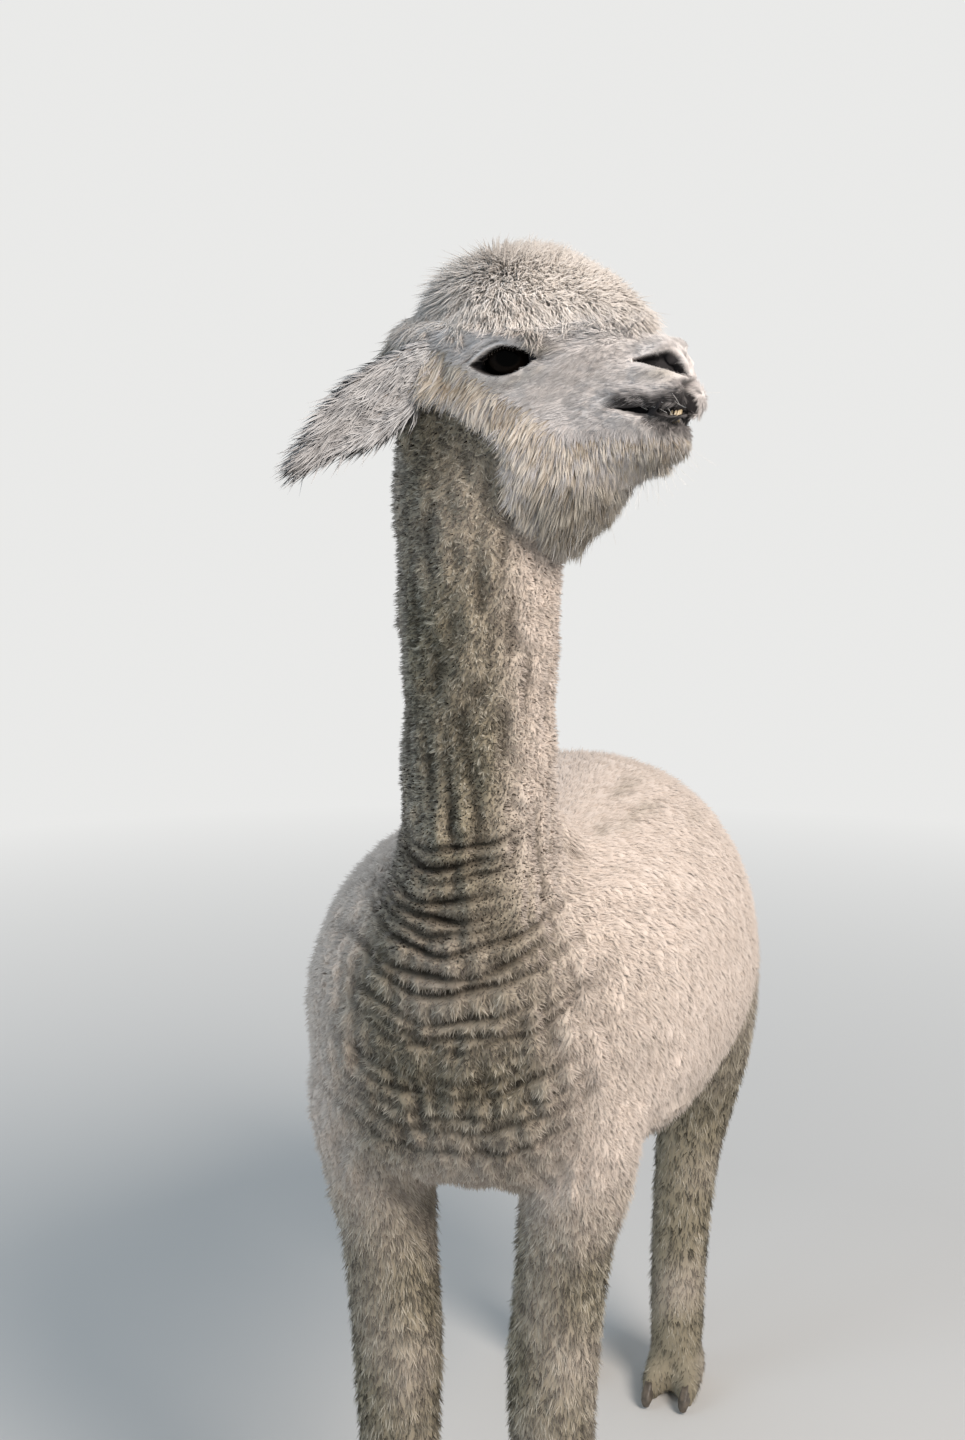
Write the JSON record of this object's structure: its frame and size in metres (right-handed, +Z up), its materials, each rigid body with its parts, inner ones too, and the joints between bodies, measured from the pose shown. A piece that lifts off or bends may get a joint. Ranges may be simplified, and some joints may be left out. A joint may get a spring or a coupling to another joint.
{
  "type": "alpaca",
  "caption": "Life-size shorn huacaya alpaca standing square on four legs, head turned to its left, long upright neck, a fluffy topknot and drooping ears.",
  "frame": {"origin": "on the floor, under the middle of the animal's box", "axes": "+Z up, -Y the way the animal's body faces, +X its left side"},
  "size_m": [0.4142, 1.0318, 1.3858],
  "materials": {
    "fleece": "matte shorn wool, cream white, greyer on the neck and chest",
    "face": "short soft hair, cream white, grey-black on the lips and nostrils",
    "eye": "wet, near-black",
    "nail": "dull dark horn"
  },
  "bodies": {
    "root": {"head": "face", "lower_jaw": "face", "topknot": "fleece", "neck_upper": "fleece", "neck_lower": "fleece", "chest": "fleece", "barrel": "fleece", "hindquarters": "fleece", "tail": "fleece", "foreleg_left_upper": "fleece", "foreleg_left_lower": "fleece", "forefoot_left": "fleece", "hindleg_left_thigh": "fleece", "hindleg_left_shank": "fleece", "hindfoot_left": "fleece", "ear_left": "fleece", "eye_left": "eye", "nail_fore_left_inner": "nail", "nail_fore_left_outer": "nail", "nail_hind_left_inner": "nail", "nail_hind_left_outer": "nail", "foreleg_right_upper": "fleece", "foreleg_right_lower": "fleece", "forefoot_right": "fleece", "hindleg_right_thigh": "fleece", "hindleg_right_shank": "fleece", "hindfoot_right": "fleece", "ear_right": "fleece", "eye_right": "eye", "nail_fore_right_inner": "nail", "nail_fore_right_outer": "nail", "nail_hind_right_inner": "nail", "nail_hind_right_outer": "nail"}
  },
  "joints": []
}
